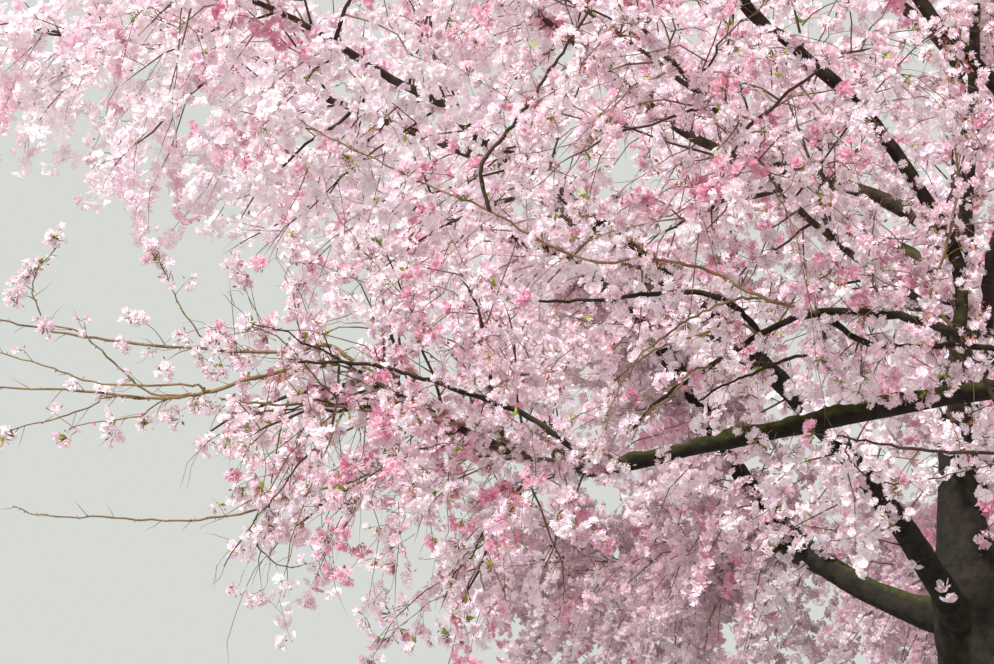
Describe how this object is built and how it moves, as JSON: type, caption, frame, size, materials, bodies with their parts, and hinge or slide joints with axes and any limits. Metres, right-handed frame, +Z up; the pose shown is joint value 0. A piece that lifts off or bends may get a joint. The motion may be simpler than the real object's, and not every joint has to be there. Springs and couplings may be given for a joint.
{
  "type": "cherry blossom tree",
  "caption": "Spreading ornamental cherry tree in full pink blossom, with a short trunk, rising boughs and hanging twigs, rooted in level ground.",
  "frame": {"origin": "middle of the flat cut under the trunk, at ground level", "axes": "+Z up along the trunk, +Y straight away from the picture's camera, +X to that camera's right"},
  "size_m": [7.9691, 8.2585, 6.3],
  "materials": {
    "bark": "rough bark with moss on its upper sides",
    "blossom": "soft, slightly see-through petals"
  },
  "bodies": {
    "root": {"trunk": "bark", "leader_bough": "bark", "main_bough_1": "bark", "main_bough_2": "bark", "main_bough_3": "bark", "main_bough_4": "bark", "main_bough_5": "bark", "low_bough_1": "bark", "low_bough_2": "bark", "low_bough_3": "bark", "low_bough_4": "bark", "low_bough_5": "bark", "low_bough_6": "bark", "low_bough_7": "bark", "low_bough_8": "bark", "middle_bough_2": "bark", "middle_bough_4": "bark", "middle_bough_6": "bark", "middle_bough_8": "bark", "middle_bough_10": "bark", "upper_bough_1": "bark", "upper_bough_2": "bark", "upper_bough_3": "bark", "upper_bough_4": "bark", "upper_bough_5": "bark", "top_bough_1": "bark", "top_bough_2": "bark", "top_bough_3": "bark", "blossom_low_1": "blossom", "blossom_low_2": "blossom", "blossom_low_3": "blossom", "blossom_low_4": "blossom", "blossom_low_5": "blossom", "blossom_low_6": "blossom", "blossom_low_7": "blossom", "blossom_low_8": "blossom", "blossom_middle_1": "blossom", "blossom_middle_2": "blossom", "blossom_middle_3": "blossom", "blossom_middle_4": "blossom", "blossom_middle_5": "blossom", "blossom_middle_6": "blossom", "blossom_middle_7": "blossom", "blossom_middle_8": "blossom", "blossom_middle_9": "blossom", "blossom_middle_10": "blossom", "blossom_upper_1": "blossom", "blossom_upper_2": "blossom", "blossom_upper_3": "blossom", "blossom_upper_4": "blossom", "blossom_upper_5": "blossom", "blossom_top_1": "blossom", "blossom_top_2": "blossom", "blossom_top_3": "blossom", "blossom_top_4": "blossom"}
  },
  "joints": []
}
